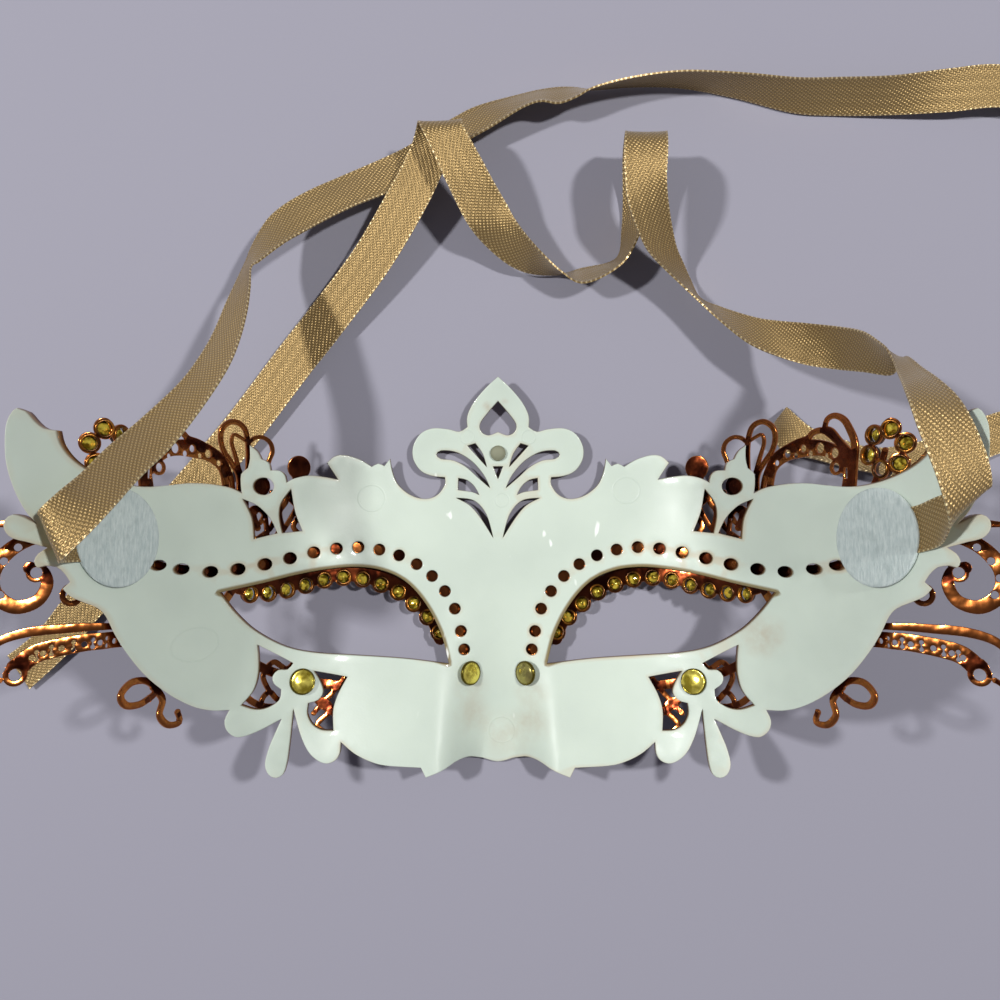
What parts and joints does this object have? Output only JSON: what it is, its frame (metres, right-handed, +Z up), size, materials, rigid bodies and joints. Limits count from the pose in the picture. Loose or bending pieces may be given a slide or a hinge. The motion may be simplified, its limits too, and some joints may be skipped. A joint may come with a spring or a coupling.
{
  "type": "masquerade mask",
  "caption": "Half mask lying face down: white plastic shell with eye openings, copper filigree and glass stones in front, tie ribbons loose.",
  "frame": {"origin": "on the table under the middle of the mask's length and width, the ribbons not counted", "axes": "+X towards the mask's temple on the viewer's right when it lies face down with the crown away, +Y towards the crown, +Z up from the table towards the wearer's side"},
  "size_m": [0.2924, 0.1722, 0.0726],
  "materials": {
    "white_plastic": "moulded pale mint white plastic, copper coloured on its front",
    "copper_sheet": "thin cut metal with a bright copper plating",
    "gold_rivet": "gold plated, bright and slightly worn",
    "pale_rivet": "dull pale metal",
    "pad_fabric": "brushed pale grey fibre with a faint sparkle, slightly soiled",
    "satin_ribbon": "antique gold woven satin with a firm edge",
    "gold_glass": "pointed faceted glass, golden yellow"
  },
  "bodies": {
    "root": {"mask_base": "white_plastic", "filigree_right": "copper_sheet", "filigree_left": "copper_sheet", "rivet_crown": "pale_rivet", "rivet_nose_right": "gold_rivet", "rivet_nose_left": "gold_rivet", "rivet_cheek_right": "gold_rivet", "rivet_cheek_left": "gold_rivet", "pad_right": "pad_fabric", "pad_left": "pad_fabric", "brow_stone_right_01": "gold_glass", "brow_stone_left_01": "gold_glass", "brow_stone_right_02": "gold_glass", "brow_stone_left_02": "gold_glass", "brow_stone_right_03": "gold_glass", "brow_stone_left_03": "gold_glass", "brow_stone_right_04": "gold_glass", "brow_stone_left_04": "gold_glass", "brow_stone_right_05": "gold_glass", "brow_stone_left_05": "gold_glass", "brow_stone_right_06": "gold_glass", "brow_stone_left_06": "gold_glass", "brow_stone_right_07": "gold_glass", "brow_stone_left_07": "gold_glass", "brow_stone_right_08": "gold_glass", "brow_stone_left_08": "gold_glass", "brow_stone_right_09": "gold_glass", "brow_stone_left_09": "gold_glass", "brow_stone_right_10": "gold_glass", "brow_stone_left_10": "gold_glass", "brow_stone_right_11": "gold_glass", "brow_stone_left_11": "gold_glass", "brow_stone_right_12": "gold_glass", "brow_stone_left_12": "gold_glass", "cluster_stone_right_1": "gold_glass", "cluster_stone_left_1": "gold_glass", "cluster_stone_right_2": "gold_glass", "cluster_stone_left_2": "gold_glass", "cluster_stone_right_3": "gold_glass", "cluster_stone_left_3": "gold_glass", "cluster_stone_right_4": "gold_glass", "cluster_stone_left_4": "gold_glass", "cluster_stone_right_5": "gold_glass", "cluster_stone_left_5": "gold_glass", "ribbon_left": "satin_ribbon", "ribbon_right": "satin_ribbon"}
  },
  "joints": []
}
